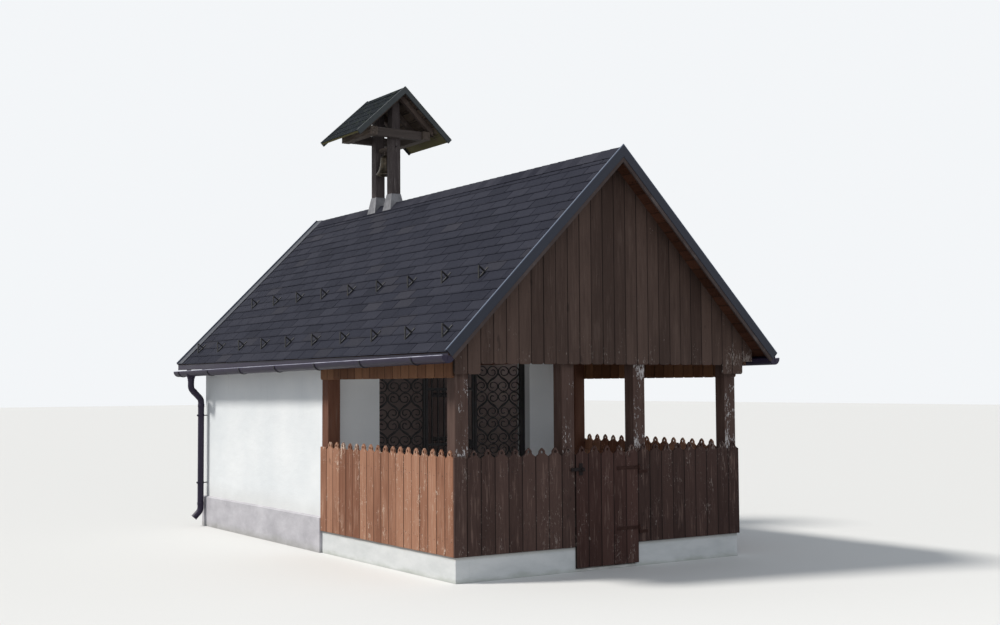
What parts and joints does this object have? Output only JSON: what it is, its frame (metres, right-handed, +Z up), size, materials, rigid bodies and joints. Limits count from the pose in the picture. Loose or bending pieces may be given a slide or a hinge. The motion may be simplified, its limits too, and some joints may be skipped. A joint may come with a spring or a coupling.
{
  "type": "small wayside chapel with a fenced timber porch and a bell turret",
  "caption": "Rendered wayside chapel under a steep shingled gable roof, with a boarded gable, a fenced porch, a scrolled iron grille and a bell turret on the ridge.",
  "frame": {"origin": "on the ground under the middle of the roof", "axes": "+X to the right across the front, +Y to the rear, +Z up"},
  "size_m": [3.9456, 6.633, 5.2943],
  "materials": {
    "render": "painted lime render, matt",
    "plinth_render": "rough cement render, matt",
    "concrete": "cast concrete, worn",
    "post_wood": "brown stain, peeling",
    "frame_wood": "brown stain",
    "soffit_wood": "red-brown stain",
    "shingle": "mineral-faced bitumen shingles",
    "verge_metal": "anthracite coated sheet",
    "gable_wood": "weathered grey-brown stain",
    "valance_wood": "orange-brown stain",
    "side_fence_wood": "worn red-brown stain",
    "front_fence_wood": "worn dark brown stain",
    "iron": "black painted wrought iron",
    "gutter_metal": "dark brown coated sheet",
    "turret_wood": "weathered brown stain",
    "turret_cover": "weathered covering with lichen",
    "flashing_metal": "dull sheet",
    "bell_metal": "dark bronze"
  },
  "bodies": {
    "chapel": {"wall_left": "render", "wall_right": "render", "rear_wall": "render", "front_piers": "render", "front_gable": "render", "plinth_sides": "plinth_render", "plinth_rear": "plinth_render", "room_floor": "concrete", "kerb_sides": "concrete", "kerb_front": "concrete", "threshold": "concrete", "porch_floor": "concrete", "front_posts": "post_wood", "wall_posts": "post_wood", "wall_plates": "frame_wood", "front_beam": "frame_wood", "ridge_beam": "frame_wood", "rafters_left": "frame_wood", "rafters_right": "frame_wood", "fascias": "frame_wood", "gable_battens": "frame_wood", "deck_left": "soffit_wood", "deck_right": "soffit_wood", "shingles_left": "shingle", "shingles_right": "shingle", "ridge_cap": "shingle", "verge_front": "verge_metal", "verge_rear": "verge_metal", "gable_boarding": "gable_wood", "valances": "valance_wood", "fence_left": "side_fence_wood", "fence_right": "side_fence_wood", "fence_front_left": "front_fence_wood", "fence_front_right": "front_fence_wood", "gate_pins": "iron", "grille_frame": "iron", "grille_scrolls": "iron", "snow_guards": "iron", "gutter_left": "gutter_metal", "gutter_right": "gutter_metal", "gutter_brackets": "gutter_metal", "downpipes": "gutter_metal", "turret_posts": "turret_wood", "turret_ties": "turret_wood", "turret_purlins": "turret_wood", "turret_rafters": "turret_wood", "turret_verges": "turret_wood", "turret_roof_left": "turret_cover", "turret_roof_right": "turret_cover", "turret_flashing": "flashing_metal"},
    "porch_gate": {"gate_leaf": "front_fence_wood", "gate_ironwork": "iron"},
    "grille_gate": {"grille_leaf": "iron"},
    "bell": {"bell": "bell_metal", "bell_yoke": "turret_wood", "clapper": "bell_metal"}
  },
  "joints": [
    {"name": "porch_gate_hinge", "type": "hinge", "parent": "chapel", "child": "porch_gate", "pos_m": [0.3705, -3.0305, 0.65], "axis": [0, 0, 1], "range_deg": [0, 105]},
    {"name": "grille_gate_hinge", "type": "hinge", "parent": "chapel", "child": "grille_gate", "pos_m": [-0.3515, -0.2035, 1], "axis": [0, 0, 1], "range_deg": [0, 95]},
    {"name": "bell_swing", "type": "hinge", "parent": "chapel", "child": "bell", "pos_m": [0, 1.3365, 4.59999], "axis": [0, 1, 0], "range_deg": [-60, 60]}
  ]
}
